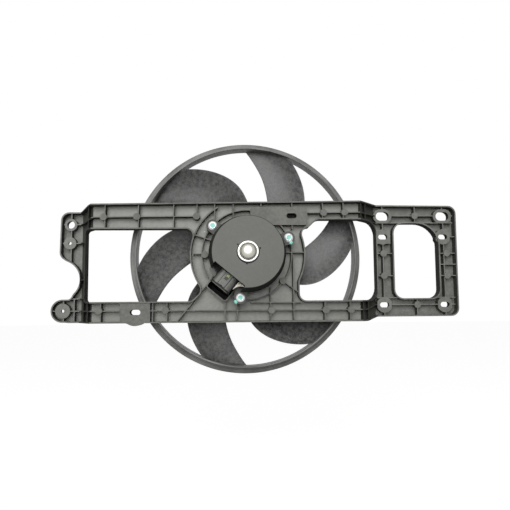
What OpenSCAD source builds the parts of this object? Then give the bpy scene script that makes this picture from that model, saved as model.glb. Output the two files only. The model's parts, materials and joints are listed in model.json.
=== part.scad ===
// Engine cooling fan: a ribbed carrier, a brushed motor and a six-blade ring fan.
// Units are millimetres and +Z is up. The fan axis is Y. The origin is on the axis, in the plane
// where the carrier's end plates rest on the radiator, and the motor side is -Y.
// Depths are measured from that plane towards the motor side.

/* [Carrier] */
// Depth of the middle section's floor, back face
mid_floor = 33; // [31:0.5:36]
// Height of the carrier's channel at the middle section, floor included
mid_height = 16; // [13:0.5:18]
// Height of the carrier's channel at the end plates, floor included
end_height = 15; // [12:0.5:17]
// Thickness of the carrier's floor
floor_t = 2.5; // [2:0.1:3.5]
// Thickness of the carrier's edge walls
wall_t = 1.8; // [1.6:0.1:2.6]
// Thickness of the stiffening ribs
rib_t = 1.3; // [1.1:0.1:2]
// How far the ribs stay below the edge walls
rib_drop = 2.5; // [1:0.5:5]
// Radius of the round plate that carries the motor
hub_plate_r = 73.8; // [72.5:0.1:75]
// Corner radius of the carrier's outline
corner_r = 11; // [9:0.5:13]
// Left end of the carrier's end plate
left_end_x = -247.9; // [-250:0.1:-247]
// Right end of the carrier's end plate
right_end_x = 291.3; // [290:0.1:293]

/* [Fastening holes] */
// Width of the four small fastening slots
slot_w = 6.8; // [6.6:0.1:7.2]
// Length of the four small fastening slots, end to end
slot_len = 12.5; // [11:0.5:14]
// Thickness of the pads' front skin round the slots
slot_skin = 3; // [2.5:0.1:4]
// Distance between the slots' columns
slot_pitch_x = 84; // [83:0.1:85]
// Distance between the slots' rows
slot_pitch_z = 93.2; // [92:0.1:94]
// X of the slots' left column
slot_x = 188.6; // [187.5:0.1:189.5]
// Z of the slots' lower row
slot_z = -66.6; // [-67:0.1:-65.5]
// Width of the two large slots
big_slot_w = 12; // [11.5:0.1:12.5]
// Length of the two large slots, end to end
big_slot_len = 18; // [17:0.1:18.5]
// Z of the two large slots
big_slot_z = 55.3; // [54.5:0.1:56]
// Diameter of the left plate's bolt hole
bolt_hole_d = 10; // [9:0.1:10.5]
// Diameter of the left plate's two screw holes
screw_hole_d = 4.2; // [3.6:0.1:4.8]

/* [Motor] */
// Outer diameter of the motor's steel can
can_d = 92; // [90:0.5:93]
// How far the black motor cover stands out past the can
cover_over = 1.9; // [1.5:0.1:2.5]
// How far the cover's side leans in from its foot to its face
cover_lean = 4.2; // [3.5:0.1:5]
// Half the width of the cover's notch for the connector
cover_notch = 23.6; // [22:0.1:25]
// Depth of the cover's front face
cover_face = 92; // [90:0.5:94]
// Distance from the axis to the flat that clears the connector
cover_flat = 34.8; // [33.5:0.1:36]
// Gap between the cover and the heads of the three screws
screw_clear = 3; // [2.5:0.1:3.5]
// Depth at which the motor's ears rest on the carrier
ear_seat = 58; // [56:0.5:59]
// Thickness of the ears
ear_t = 2.5; // [2:0.1:3]
// Shaft diameter
shaft_d = 8; // [7:0.5:8.5]
// Direction of the connector, counter-clockwise from +X seen from the motor side
plug_angle = 230.5; // [228:0.5:233]
// Width of the connector's shell
plug_w = 28; // [26:0.5:29]

/* [Fan] */
// Inner diameter of the fan's ring
ring_id = 291; // [288:1:294]
// Largest diameter of the fan, over the ring's lip
ring_od = 314; // [311:0.5:316]
// Depth of the fan's back edge
fan_back = 5; // [4:0.5:6]
// Depth of the fan's front edge
fan_front = 27; // [26:0.5:28]
// Outer diameter of the fan's hub
hub_d = 124; // [122:0.5:126]
// Number of blades
blades = 6; // [5:1:7]

/* [Clearances] */
// Running clearance of the shaft in its bearings, on the radius
bearing_gap = 0.03; // [0.02:0.01:0.08]
// Clearance of the brushes in their holders, on each side
brush_gap = 0.1; // [0.05:0.05:0.2]
// Gap between the brushes and the commutator
contact_gap = 0.05; // [0.03:0.01:0.1]
// Air gap between the armature and the magnets
air_gap = 0.8; // [0.5:0.1:1]
// Clearance between seated parts that don't touch
seat_gap = 0.1; // [0.05:0.05:0.2]

/* [Hidden] */
$fn = 48;
eps = 0.01;

black_nylon = [0.36, 0.36, 0.35];
blade_nylon = [0.25, 0.26, 0.26];
paint = [0.14, 0.14, 0.15];
steel = [0.72, 0.73, 0.74];
brass = [0.78, 0.62, 0.32];
copper = [0.72, 0.38, 0.2];
ferrite = [0.22, 0.21, 0.2];
cream = [0.85, 0.82, 0.72];

// Carrier levels
mid_rim = mid_floor + mid_height;
ramp_left = [-220.1, -198.4];
ramp_right = [147.9, 176.9];
rail_top_left = 66.3;
rail_top_right = 70.8;
rail_bottom = -87.4;
plate_top_left = 60.7;
plate_top_right = 69.7;
plate_bottom_right = -82.5;
lug = [-243.9, -71.6];
lug_r = 15.3;
slot_relief = 1.6;
pad_slot = [58.8, 50.7];
rail_slot = [-143.1, -73.7];
rail_slot_r = 17.3;
bolt_hole = [-235.2, 43.8];
screw_hole = [-236.1, 18.9];
ear_angles = [20.8, 140.8, 260.8];
ear_boss_r = 8.3;
screw_core_r = 2.4;
screw_head_r = 5.7;
cover_d = can_d + 2 * cover_over;
ear_r = cover_d / 2 + screw_head_r + screw_clear;
motor_hole_r = can_d / 2 + 0.7;
inner_ring_r = 58.5;
window_low = -60;
left_window_top = 33.5;
right_window_top = 45.8;

// Motor levels
can_r = can_d / 2;
can_t = 2;
can_front = 14;
ear_top = ear_seat + ear_t;
cover_r = cover_d / 2;
cover_t = 2.5;
cover_foot = ear_top + 13.5;
shaft_r = shaft_d / 2;
shaft_tip = 2;
shaft_end = cover_face + 5;
bearing_r = 8;
front_bearing_d = [can_front + can_t, can_front + can_t + 8];
rear_bearing_d = [cover_face - 4, cover_face + 3];
magnet_r = can_r - can_t;
magnet_t = 6.8;
magnet_len = 32;
plate_step = 3;
magnet_d = [ear_top - plate_step - magnet_len - 0.5, ear_top - plate_step - 0.5];
magnet_half = 62;
core_r = magnet_r - magnet_t - air_gap;
core_d = [magnet_d[0] + 3, magnet_d[1] - 3];
commutator_r = 13;
brush_plate_d = [ear_top, ear_top + 2.5];
brush_size = [12, 8, 6];
holder_t = 0.8;
holder_rise = 2.1;
brush_d = brush_plate_d[1] + holder_rise + holder_t + brush_gap + brush_size[1] / 2;
commutator_d = [brush_d - brush_size[1] / 2 - 2, brush_d + brush_size[1] / 2 + 3];
brush_in = commutator_r + contact_gap;
plug_d = [ear_top + 0.1, ear_top + 15.5];
plug_len = 20.8;
plug_wall = 2;
terminal_d = ear_top + 7.5;
terminal_z = 3.6;
holder_out = brush_in + brush_size[0] + 9;
cheek_z = brush_size[2] / 2 + brush_gap + holder_t + 1.8;
chokes = [[-27, -17], [27, -20]];
choke_r = 3.4;
spring_r = 2.3;
spring_wire = 0.35;
spring_gap = 0.1;

// Fan levels
hub_r = hub_d / 2;
hub_t = 2.6;
face_t = 3;
bush_r = 7;
bush_d = [shaft_tip + 1.9, can_front - 1.2];
ring_r = ring_id / 2;
ring_t = 2.4;
lip_r = ring_od / 2;

function polar(r, a) = [r * cos(a), r * sin(a)];
function arc(c, r, a0, a1, n) = [for (i = [0 : n]) c + polar(r, a0 + (a1 - a0) * i / n)];

// Extrudes a drawing made in X and Z from depth d0 to depth d1.
module slab(d0, d1) {
  translate([0, -d0, 0])
    rotate([90, 0, 0])
      linear_extrude(height = d1 - d0)
        children();
}

// A cylinder on a line parallel to the fan axis.
module post(x, z, r, d0, d1) {
  slab(d0, d1)
    translate([x, z])
      circle(r = r, $fn = r > 20 ? 96 : 24);
}

// A slot drawn level, given its full length and width.
module slot_2d(len, w) {
  square([len - w, w], center = true);
  translate([-(len - w) / 2, 0])
    circle(d = w);
  translate([(len - w) / 2, 0])
    circle(d = w);
}

// A body turned about the fan axis from a profile of radius and depth.
module turned(points, fn = 48) {
  rotate([90, 0, 0])
    rotate_extrude($fn = fn)
      polygon(points);
}

// A straight rib in X and Z.
module bar(a, b, w) {
  v = b - a;
  translate(a)
    rotate(atan2(v[1], v[0]))
      translate([0, -w / 2])
        square([norm(v), w]);
}

// Rounds the outer corners of a drawing.
module soften(r) {
  offset(r = r, $fn = 24)
    offset(delta = -r)
      children();
}

// Rounds the inner corners of a drawing.
module fillet(r) {
  offset(r = -r, $fn = 24)
    offset(delta = r)
      children();
}

// Merges a drawing into plain outlines.
module merged() {
  offset(delta = 0)
    children();
}

/* The carrier, drawn in X and Z */

module left_window() {
  soften(9)
    difference() {
      translate([ramp_left[0] + 19, window_low])
        square([200, left_window_top - window_low]);
      circle(r = hub_plate_r, $fn = 72);
      polygon([[-55, -44], [-74, -62], [-41, -62]]);
    }
  soften(4)
    translate([ramp_left[0] + 9.4, window_low])
      square([50, left_window_top - window_low]);
}

module right_window() {
  soften(9)
    difference() {
      polygon([[68, window_low], [140, window_low], [140, right_window_top], [92, right_window_top],
        [81, right_window_top - 10.4], [40, right_window_top - 10.4], [40, -10], [68, -34]]);
      circle(r = hub_plate_r + 2.4, $fn = 72);
    }
  soften(16)
    translate([105, window_low])
      square([ramp_right[1] + 1.4 - 105, right_window_top - window_low]);
}

module plate_window() {
  x0 = 203.3;
  x1 = 265.6;
  z0 = -57.7;
  z1 = 45.3;
  polygon(concat(
    arc([x0 + 12, z0 + 12], 12, 180, 270, 6),
    arc([x1 - 12, z0 + 12], 12, 270, 360, 6),
    arc([x1 - 31, z1 - 31], 31, 0, 90, 10),
    arc([x0 + 14, z1 - 14], 14, 90, 180, 6)));
}

module plug_window() {
  rotate(plug_angle)
    soften(3)
      translate([44, -plug_w / 2 - 0.3])
        square([20.4, plug_w + 2.3]);
}

module carrier_shape() {
  soften(corner_r)
    fillet(6)
      difference() {
        union() {
          polygon([[left_end_x, plate_top_left], [ramp_left[0], plate_top_left],
            [ramp_left[0] + 14, rail_top_left], [ramp_right[0], rail_top_right],
            [right_end_x, plate_top_right], [right_end_x, plate_bottom_right],
            [ramp_right[1], plate_bottom_right], [ramp_right[0] + 12, rail_bottom],
            [-233.6, rail_bottom], [-229.6, -12.3], [left_end_x - 1.2, 0.7]]);
          translate([lug[0], lug[1] - lug_r])
            square([40, 2 * lug_r]);
          translate(lug)
            circle(r = lug_r, $fn = 32);
          translate(rail_slot)
            circle(r = rail_slot_r, $fn = 32);
        }
        translate([-247.5, -30])
          circle(r = 25.6, $fn = 48);
      }
}

module carrier_plan() {
  difference() {
    carrier_shape();
    left_window();
    right_window();
    plate_window();
    plug_window();
    circle(r = motor_hole_r, $fn = 72);
  }
}

module pads_2d() {
  soften(3)
    translate([4.7, 38.5])
      square([74.5, 24]);
  intersection() {
    carrier_shape();
    translate([rail_slot[0] - 19, rail_slot[1] - 25])
      square([38, 50]);
  }
  translate([slot_x - 10, slot_z + slot_pitch_z - 9.5])
    square([20.5, 19]);
}

module ribs_2d() {
  w = rib_t;
  // Long ribs of the rails
  bar([-244.5, 44.3], [-217.5, 44.3], w);
  bar([-196.7, 49.3], [-61.8, 50.3], w);
  bar([-217.5, 44.3], [-196.7, 49.3], w);
  bar([81.3, 54.9], [173, 56], w);
  bar([173, 56], [287, 56], w);
  bar([-258.1, -71.7], [159.4, -72.2], w);
  bar([159.4, -72.2], [174.2, -66.4], w);
  bar([174.2, -66.4], [287.3, -66.4], w);
  // Uprights of the top rail
  for (x = [-206.7, -183.2, -140.2, -94.8, 99.8, 127.3, 151.3, 159.3])
    bar([x, 32], [x, 72], w);
  bar([-64.6, 49.8], [-64.6, 66.7], w);
  bar([-41.8, 41.8], [-41.8, 66.7], w);
  bar([-17.7, 42], [-17.7, 66.9], w);
  bar([18.8, 62.9], [18.8, 68.9], w);
  bar([59.3, 62.9], [59.3, 68.9], w);
  bar([59.3, 33], [59.3, 41], w);
  // Uprights of the bottom rail
  for (x = [-214.3, -205.3, -186.8, -120.8, -102.8, -28.5, 60.3, 100.8, 133.9, 152.4, 161.5])
    bar([x, -89], [x, -58], w);
  bar([-14.2, -84.9], [-11.7, -62.9], w);
  bar([30.3, -88], [30.3, -43], w);
  bar([60.3, -63], [60.3, -1], w);
  // Left end plate
  bar([-234.5, 62.3], [-234.5, -13.6], w);
  bar([-245.5, 18.9], [-208.6, 18.9], w);
  bar([-243, -86.7], [-243, -55.7], w);
  bar([-229, -86.7], [-229, -55.7], w);
  bar([-220.7, -30.6], [-208.7, -30.6], w);
  bar([-233, -55.7], [-205.3, -55.1], w);
  // Right end plate
  bar([173, 46.1], [287, 46.1], w);
  for (x = [slot_x, 234, slot_x + slot_pitch_x])
    bar([x, 45], [x, 71], w);
  bar([234.2, -82.5], [234.2, -57.5], w);
  bar([slot_x, 46], [slot_x, -82], w);
  bar([slot_x + slot_pitch_x + 1, 46], [slot_x + slot_pitch_x + 1, -82], w);
  for (z = [3.8, -26.9])
    bar([178, z], [205, z], w);
  for (z = [26.7, 3.8, -11.4, -26.9])
    bar([264, z], [292, z], w);
  bar([174.2, -57], [287.3, -57], w);
  // Motor plate
  difference() {
    circle(r = hub_plate_r, $fn = 72);
    circle(r = hub_plate_r - wall_t, $fn = 72);
    translate([-38, -100])
      square([200, 200]);
    translate([-100, -140])
      square([200, 100]);
  }
  difference() {
    circle(r = inner_ring_r + w / 2, $fn = 72);
    circle(r = inner_ring_r - w / 2, $fn = 72);
    rotate(plug_angle)
      translate([40, -20])
        square([60, 40]);
  }
  bar([-69.7, 1.1], [-48.2, 1.1], w);
  bar(polar(72, 159), polar(50, 158), w);
  bar([50, 2.8], [74.5, 2.8], w);
  bar([46.8, -34.5], [82.5, -61.3], w);
  bar([-91.8, -87.9], [-60.8, -49.2], w);
  bar([-60.8, -49.2], [-43.8, -29.4], w);
  bar([-28.8, -58.9], [-28.8, -88], w);
  bar([4.3, -62.2], [71.3, -62.2], w);
}

ejector_bosses_mid = [[-185.1, 49.3], [-142.4, 49.8], [-65.5, 50.3], [101.2, 55.1], [129.1, 55.5],
  [-189.2, -71.2], [-104.7, -71.2], [31.4, -72.2], [102.1, -72.2], [135.1, -72.2]];
ejector_bosses_hub = [[-54.7, 0.1], [46.8, -34.5]];
ejector_bosses_end = [[234, 56], [189.2, 3.8], [189.2, -26.9], [277.2, 3.8], [277.3, -26.9], [234.2, -66.5]];

// The carrier's cross-section along X, from depth `back` off the floor to depth `rise` off it.
module profile(lo_mid, hi_mid, lo_end, hi_end) {
  a = ramp_left;
  b = ramp_right;
  translate([0, 0, -110])
    linear_extrude(height = 200)
      polygon([[-280, -lo_end], [a[0], -lo_end], [a[1], -lo_mid], [b[0], -lo_mid], [b[1], -lo_end],
        [320, -lo_end], [320, -hi_end], [b[1] + 2, -hi_end], [b[0] + 2, -hi_mid], [a[1] - 2, -hi_mid],
        [a[0] - 2, -hi_end], [-280, -hi_end]]);
}

module carrier_ribs() {
  intersection() {
    slab(-2, mid_rim + 2)
      merged()
        intersection() {
          carrier_plan();
          ribs_2d();
        }
    profile(mid_floor + 1, mid_rim - rib_drop, 1, end_height - rib_drop);
  }
}

module carrier_walls() {
  intersection() {
    slab(-2, mid_rim + 2)
      merged()
        difference() {
          carrier_plan();
          offset(delta = -wall_t)
            carrier_plan();
        }
    profile(mid_floor, mid_rim, 0, end_height);
  }
}

module carrier_floor() {
  intersection() {
    slab(-2, mid_rim + 2)
      merged()
        carrier_plan();
    profile(mid_floor, mid_floor + floor_t, 0, floor_t);
  }
}

module carrier_pads() {
  intersection() {
    slab(-2, mid_rim + 2)
      merged()
        intersection() {
          carrier_plan();
          pads_2d();
        }
    profile(mid_floor, mid_rim - 1.5, 0, end_height - 2);
  }
}

module small_slots() {
  for (i = [0, 1])
    for (j = [0, 1])
      translate([slot_x + i * slot_pitch_x, slot_z + j * slot_pitch_z])
        children();
}

module big_slots() {
  for (i = [0, 1])
    translate([slot_x + i * slot_pitch_x, big_slot_z])
      children();
}

module carrier_bosses() {
  for (p = ejector_bosses_mid)
    post(p[0], p[1], 4.5, mid_floor + 1, mid_rim - 1.5);
  for (p = ejector_bosses_hub)
    post(p[0], p[1], 4.5, mid_floor + 1, mid_rim - 1.5);
  for (p = ejector_bosses_end)
    post(p[0], p[1], 4.5, 1, end_height - 1.5);
  post(bolt_hole[0], bolt_hole[1], bolt_hole_d / 2 + slot_relief + 1.6, 1, end_height - 2);
  post(screw_hole[0], screw_hole[1], 8.2, 1, end_height - 2);
  post(lug[0], lug[1], 9.8, 1, end_height - 2);
  slab(1, end_height - 2)
    small_slots()
      intersection() {
        circle(r = 10.6);
        square([19.6, 30], center = true);
      }
  slab(1, end_height - 2)
    merged()
      intersection() {
        carrier_plan();
        big_slots()
          slot_2d(big_slot_len + 7.6, big_slot_w + 7.6);
      }
  for (a = ear_angles)
    post(ear_r * cos(a), ear_r * sin(a), ear_boss_r, mid_floor, ear_seat);
}

module carrier_cuts() {
  slab(-1, end_height)
    small_slots()
      slot_2d(slot_len, slot_w);
  slab(-1, end_height)
    big_slots()
      slot_2d(big_slot_len, big_slot_w);
  slab(-1, end_height - 2 - slot_skin)
    small_slots()
      slot_2d(slot_len + 2 * slot_relief, slot_w + 2 * slot_relief);
  slab(-1, end_height - 2 - slot_skin)
    big_slots()
      slot_2d(big_slot_len + 2 * slot_relief, big_slot_w + 2 * slot_relief);
  slab(0, mid_rim + 1)
    translate(pad_slot)
      slot_2d(13.5, slot_w);
  slab(0, mid_rim + 1)
    translate(rail_slot)
      slot_2d(13.5, slot_w);
  post(bolt_hole[0], bolt_hole[1], bolt_hole_d / 2, -1, end_height + 1);
  post(screw_hole[0], screw_hole[1], screw_hole_d / 2, -1, end_height + 1);
  post(lug[0], lug[1], screw_hole_d / 2, -1, end_height + 1);
  post(bolt_hole[0], bolt_hole[1], bolt_hole_d / 2 + slot_relief, -1, end_height - 2 - slot_skin);
  post(screw_hole[0], screw_hole[1], screw_hole_d / 2 + 2.5, -1, end_height - 2 - slot_skin);
  post(lug[0], lug[1], screw_hole_d / 2 + 2.5, -1, end_height - 2 - slot_skin);
  for (a = ear_angles)
    post(ear_r * cos(a), ear_r * sin(a), screw_core_r + seat_gap, mid_floor - 1, ear_seat + 1);
  post(0, 0, motor_hole_r, mid_floor - 1, ear_seat + 1);
}

module carrier_frame() {
  color(black_nylon)
    difference() {
      union() {
        carrier_floor();
        carrier_walls();
        carrier_ribs();
        carrier_pads();
        carrier_bosses();
      }
      carrier_cuts();
    }
}

/* The motor */

module motor_can() {
  r = can_r;
  t = can_t;
  color(paint)
    difference() {
      union() {
        turned([[shaft_r + 1.5, can_front], [r - 4, can_front], [r - 1.2, can_front + 1.2],
          [r, can_front + 4], [r, ear_top], [r - t, ear_top], [r - t, can_front + 4],
          [r - 4, can_front + t], [bearing_r + 2.2, can_front + t], [bearing_r + 2.2, can_front + t + 6],
          [bearing_r, can_front + t + 6], [bearing_r, can_front + t],
          [shaft_r + 1.5, can_front + t]], 96);
        slab(ear_seat, ear_top)
          difference() {
            union() {
              circle(r = cover_r - 1, $fn = 96);
              for (a = ear_angles)
                rotate(a) {
                  translate([30, -ear_boss_r])
                    square([ear_r - 30, 2 * ear_boss_r]);
                  translate([ear_r, 0])
                    circle(r = ear_boss_r);
                }
            }
            circle(r = r - 1, $fn = 96);
          }
      }
      for (a = ear_angles)
        post(ear_r * cos(a), ear_r * sin(a), screw_core_r + 0.4, ear_seat - 1, ear_top + 1);
      for (a = [0 : 60 : 300])
        rotate([0, -a, 0])
          slab(can_front - 1, can_front + t + 1)
            translate([30, 0])
              rotate(90)
                slot_2d(14, 6);
    }
}

module front_bearing() {
  color(brass)
    turned([[shaft_r + bearing_gap, front_bearing_d[0]], [bearing_r, front_bearing_d[0]],
      [bearing_r, front_bearing_d[1]], [shaft_r + bearing_gap, front_bearing_d[1]]]);
}

module rear_bearing() {
  color(brass)
    turned([[shaft_r + bearing_gap, rear_bearing_d[0]], [bearing_r, rear_bearing_d[0]],
      [bearing_r, rear_bearing_d[1]], [shaft_r + bearing_gap, rear_bearing_d[1]]]);
}

module magnet(a) {
  rotate([0, -a, 0])
    rotate([90, 0, 0])
      rotate([0, 0, -magnet_half])
        rotate_extrude(angle = 2 * magnet_half, $fn = 72)
          polygon([[magnet_r - magnet_t, magnet_d[0]], [magnet_r, magnet_d[0]],
            [magnet_r, magnet_d[1]], [magnet_r - magnet_t, magnet_d[1]]]);
}

module magnet_1() {
  color(ferrite)
    magnet(0);
}

module magnet_2() {
  color(ferrite)
    magnet(180);
}

// Two bent spring clips that push the magnets apart against the can.
module magnet_clips() {
  turn = 90 - magnet_half - 0.1;
  outer = magnet_r - 0.6;
  clip_t = 0.8;
  clip_leg = 4.2;
  color(steel)
    for (side = [90, 270])
      rotate([0, -side, 0]) {
        slab(magnet_d[0] + 4, magnet_d[1] - 4)
          polygon(concat(arc([0, 0], outer, -turn, turn, 12), arc([0, 0], outer - clip_t, turn, -turn, 12)));
        for (e = [-1, 1])
          slab(magnet_d[0] + 4, magnet_d[1] - 4)
            rotate(e * turn)
              translate([outer - clip_t / 2 - clip_leg, e > 0 ? -clip_t : 0])
                square([clip_leg, clip_t]);
      }
}

// The part of the brush gear that stands inside the can and the cover.
module brush_plate() {
  d0 = brush_plate_d[0];
  d1 = brush_plate_d[1];
  color(paint) {
    slab(d0, d1)
      difference() {
        circle(r = cover_r - cover_t - 0.4, $fn = 72);
        circle(r = commutator_r + 4);
        for (a = [60, 120, 300])
          translate(polar(31, a))
            circle(r = 4);
        rotate(plug_angle)
          translate([cover_flat + 0.4, -plug_w / 2 - seat_gap])
            square([20, plug_w + 2 * seat_gap]);
      }
    // Step that centres the plate in the mouth of the can
    turned([[can_r - can_t - 1.6, d0 - plate_step], [can_r - can_t, d0 - plate_step],
      [can_r - can_t, d0 + eps], [can_r - can_t - 1.6, d0 + eps]], 72);
    // Cheeks that carry the brush holders
    for (s = [-1, 1])
      for (e = [-1, 1])
        slab(d1 - eps, brush_d - brush_size[1] / 2 + 3)
          translate([s * (brush_in + brush_size[0] / 2 + 6), e * (cheek_z - 0.9)])
            square([14, 1.8], center = true);
  }
}

module holder(s) {
  in_z = brush_size[2] / 2 + brush_gap;
  in_y = brush_size[1] / 2 + brush_gap;
  x0 = commutator_r + 3.5;
  color(brass)
    mirror([s < 0 ? 1 : 0, 0, 0])
      difference() {
        translate([x0, -brush_d - in_y - holder_t, -in_z - holder_t])
          cube([holder_out - x0, 2 * (in_y + holder_t), 2 * (in_z + holder_t)]);
        translate([x0 - 1, -brush_d - in_y, -in_z])
          cube([holder_out - x0 + 1 - holder_t, 2 * in_y, 2 * in_z]);
        translate([x0 + 5, -brush_d - in_y - 2, -1])
          cube([9, 2.5, 2]);
      }
}

module brush_holder_1() {
  holder(1);
}

module brush_holder_2() {
  holder(-1);
}

module brush(s) {
  color([0.16, 0.15, 0.15])
    mirror([s < 0 ? 1 : 0, 0, 0])
      difference() {
        translate([0, -brush_d - brush_size[1] / 2, -brush_size[2] / 2])
          cube([brush_in + brush_size[0], brush_size[1], brush_size[2]]);
        rotate([90, 0, 0])
          cylinder(r = brush_in, h = 120, $fn = 72);
      }
}

module brush_1() {
  brush(1);
}

module brush_2() {
  brush(-1);
}

// A coil spring along +X, as a swept wire.
module coil(x0, x1, turns) {
  n = 12 * turns;
  m = 5;
  r = spring_r;
  w = spring_wire;
  pts = [for (i = [0 : n])
    let (a = 30 * i, x = x0 + w + (x1 - x0 - 2 * w) * i / n)
      for (j = [0 : m - 1])
        let (b = 72 * j, rr = r + w * cos(b))
          [x + w * sin(b), rr * cos(a), rr * sin(a)]];
  sides = [for (i = [0 : n - 1])
    for (j = [0 : m - 1])
      let (k = (j + 1) % m)
        [i * m + j, i * m + k, (i + 1) * m + k, (i + 1) * m + j]];
  polyhedron(points = pts,
    faces = concat([[for (j = [0 : m - 1]) m - 1 - j]], sides, [[for (j = [0 : m - 1]) n * m + j]]));
}

module spring(s) {
  color(steel)
    mirror([s < 0 ? 1 : 0, 0, 0])
      translate([0, -brush_d, 0])
        coil(brush_in + brush_size[0] + spring_gap, holder_out - holder_t - spring_gap, 5);
}

module brush_spring_1() {
  spring(1);
}

module brush_spring_2() {
  spring(-1);
}

// Braided leads from the brush holders towards the connector.
module brush_leads() {
  color(copper)
    for (p = chokes)
      slab(brush_plate_d[1], brush_plate_d[1] + 2)
        bar([p[0], -cheek_z], [p[0], p[1] + choke_r - 0.1], 2);
}

module choke_coils() {
  color(copper)
    for (p = chokes)
      difference() {
        post(p[0], p[1], choke_r, brush_plate_d[1], cover_foot - 1);
        slab(brush_plate_d[1] - 1, brush_plate_d[1] + 2)
          bar([p[0], -cheek_z], [p[0], p[1] + choke_r - 0.1], 2);
      }
}

module terminals() {
  color(brass)
    rotate([0, -plug_angle, 0])
      for (v = [-terminal_z, terminal_z])
        translate([27, -terminal_d - 0.4, v - 1.6])
          cube([21, 0.8, 3.2]);
}

// A pale guide beside the connector that keeps the leads apart.
module lead_guide() {
  d0 = brush_plate_d[1];
  side = plug_w / 2 + 0.4;
  color(cream)
    difference() {
      slab(d0, d0 + 7)
        rotate(plug_angle)
          translate([cover_flat + 0.4, side])
            square([12, cover_notch - side - 0.3]);
      // Rounded clear of the screw
      post(ear_r * cos(ear_angles[2]), ear_r * sin(ear_angles[2]), 13.8, d0 - 1, d0 + 8);
      slab(d0 + 4, d0 + 8)
        rotate(plug_angle)
          translate([cover_flat - 1, side + 1.4])
            square([4.4, 1.3]);
    }
}

// The connector's round-shouldered section, standing on its base line.
module barrel_2d(w, h, r) {
  polygon(concat([[w / 2, 0]],
    arc([w / 2 - r, h - r], r, 0, 90, 8),
    arc([r - w / 2, h - r], r, 90, 180, 8),
    [[-w / 2, 0]]));
}

// Draws a section along the connector from distance a to distance b off the fan axis.
module along_plug(a, b, d) {
  rotate([0, -plug_angle, 0])
    translate([a, -d, 0])
      rotate([180, -90, 0])
        linear_extrude(height = b - a)
          children();
}

// The connector, with its mouth turned away from the motor.
module connector_shell() {
  w = plug_w;
  t = plug_wall;
  d0 = plug_d[0];
  h = plug_d[1] - d0;
  x = cover_flat + 0.6;
  r = 8.5;
  color(paint)
    difference() {
      union() {
        along_plug(x, x + plug_len, d0)
          barrel_2d(w, h, r);
        // Lip round the mouth
        along_plug(x + plug_len - 1.3, x + plug_len, d0)
          barrel_2d(w + 1.6, h + 0.8, r + 0.8);
        // Raised strip that carries the latch
        along_plug(x, x + plug_len - 3.5, d0)
          translate([-5.6, h - 2])
            square([11.2, 3]);
        along_plug(26, x + 1, brush_plate_d[1])
          translate([-6, 0])
            square([12, cover_foot - 0.6 - brush_plate_d[1]]);
      }
      along_plug(x + 4.4, x + plug_len + 1, d0 + t)
        barrel_2d(w - 2 * t, h - 2 * t, r - t);
      along_plug(x + 4.2, x + 8.8, d0 + h - 3)
        translate([-2.3, 0])
          square([4.6, 6]);
      along_plug(x + plug_len - 4, x + plug_len - 1.6, d0 + h - 1)
        translate([-1.6, 0])
          square([2.6, 4]);
      for (v = [-terminal_z, terminal_z])
        along_plug(20, 48, terminal_d - 0.4)
          translate([v - 1.6, 0])
            square([3.2, 0.8]);
    }
}

module connector_lock() {
  color([0.2, 0.42, 0.22])
    rotate([0, -plug_angle, 0])
      translate([cover_flat + 0.8, -plug_d[1] - 1 - 1.1, -2.2])
        cube([3.6, 1.1, 4.4]);
}

// The black cap over the brush gear, with a flat beside the connector.
module motor_cover() {
  r = cover_r;
  rf = cover_r - cover_lean;
  t = cover_t;
  f = cover_face;
  foot = ear_top + 2;
  color(black_nylon)
    difference() {
      union() {
        turned([[bearing_r + 2 + seat_gap, f], [rf - 0.8, f], [rf, f - 0.8], [r, foot],
          [r, ear_top], [r - t, ear_top], [r - t, foot], [rf - t, f - t],
          [bearing_r + 2 + seat_gap, f - t]], 96);
        cover_cheeks();
      }
      rotate([0, -plug_angle, 0])
        translate([cover_flat, -f - 1, -cover_notch])
          cube([60, f, 2 * cover_notch]);
      for (a = [15, 105, 195, 285])
        slab(f - 1.2, f + 1)
          rotate(a)
            translate([15.2, 0])
              square([2.4, 1.4], center = true);
    }
  // The wall along the flat, open at the foot for the connector
  color(black_nylon)
    intersection() {
      rotate([0, -plug_angle, 0])
        translate([cover_flat - 2, -f + 0.5, -cover_notch - 1])
          cube([2, f - 0.5 - cover_foot, 2 * cover_notch + 2]);
      cover_core();
    }
  // The lug beside the connector
  color(black_nylon)
    slab(ear_top + 0.1, ear_top + 2.2)
      intersection() {
        rotate(plug_angle)
          translate([36, -cover_notch - 1.6])
            square([14, cover_notch + 1.6 - plug_w / 2 - 0.4]);
        difference() {
          circle(r = r + 3, $fn = 96);
          circle(r = r - t - 0.3, $fn = 96);
        }
      }
}

// The solid inside the cover's outer skin.
module cover_core() {
  r = cover_r - 0.5;
  d0 = brush_plate_d[1] + seat_gap;
  turned([[0, d0], [r, d0], [r - cover_lean, cover_face - 0.5], [0, cover_face - 0.5]], 96);
}

// Walls that close the cover's hollow on both sides of the notch.
module cover_cheeks() {
  intersection() {
    rotate([0, -plug_angle, 0])
      for (e = [-1, 1])
        translate([cover_flat - 2, -cover_face, e > 0 ? cover_notch : -cover_notch - 1.8])
          cube([20, cover_face - brush_plate_d[1] - 2 * seat_gap, 1.8]);
    cover_core();
  }
}

module bearing_cap() {
  f = cover_face;
  r = bearing_r + 2;
  g = cover_t;
  color(steel)
    rotate([90, 0, 0])
      rotate_extrude()
        polygon(concat([[bearing_r, f - 6], [r, f - 6], [r, f - g - 1.5], [r + 2.6, f - g - 1.5],
          [r + 2.6, f - g], [r, f - g]],
          [for (a = [0 : 10 : 80]) [r * cos(a), f + 3 + 8 * sin(a)]],
          [[0, f + 11], [0, f + 9.6]],
          [for (a = [80 : -10 : 0]) [bearing_r * cos(a), f + 3 + 6.6 * sin(a)]]));
}

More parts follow.
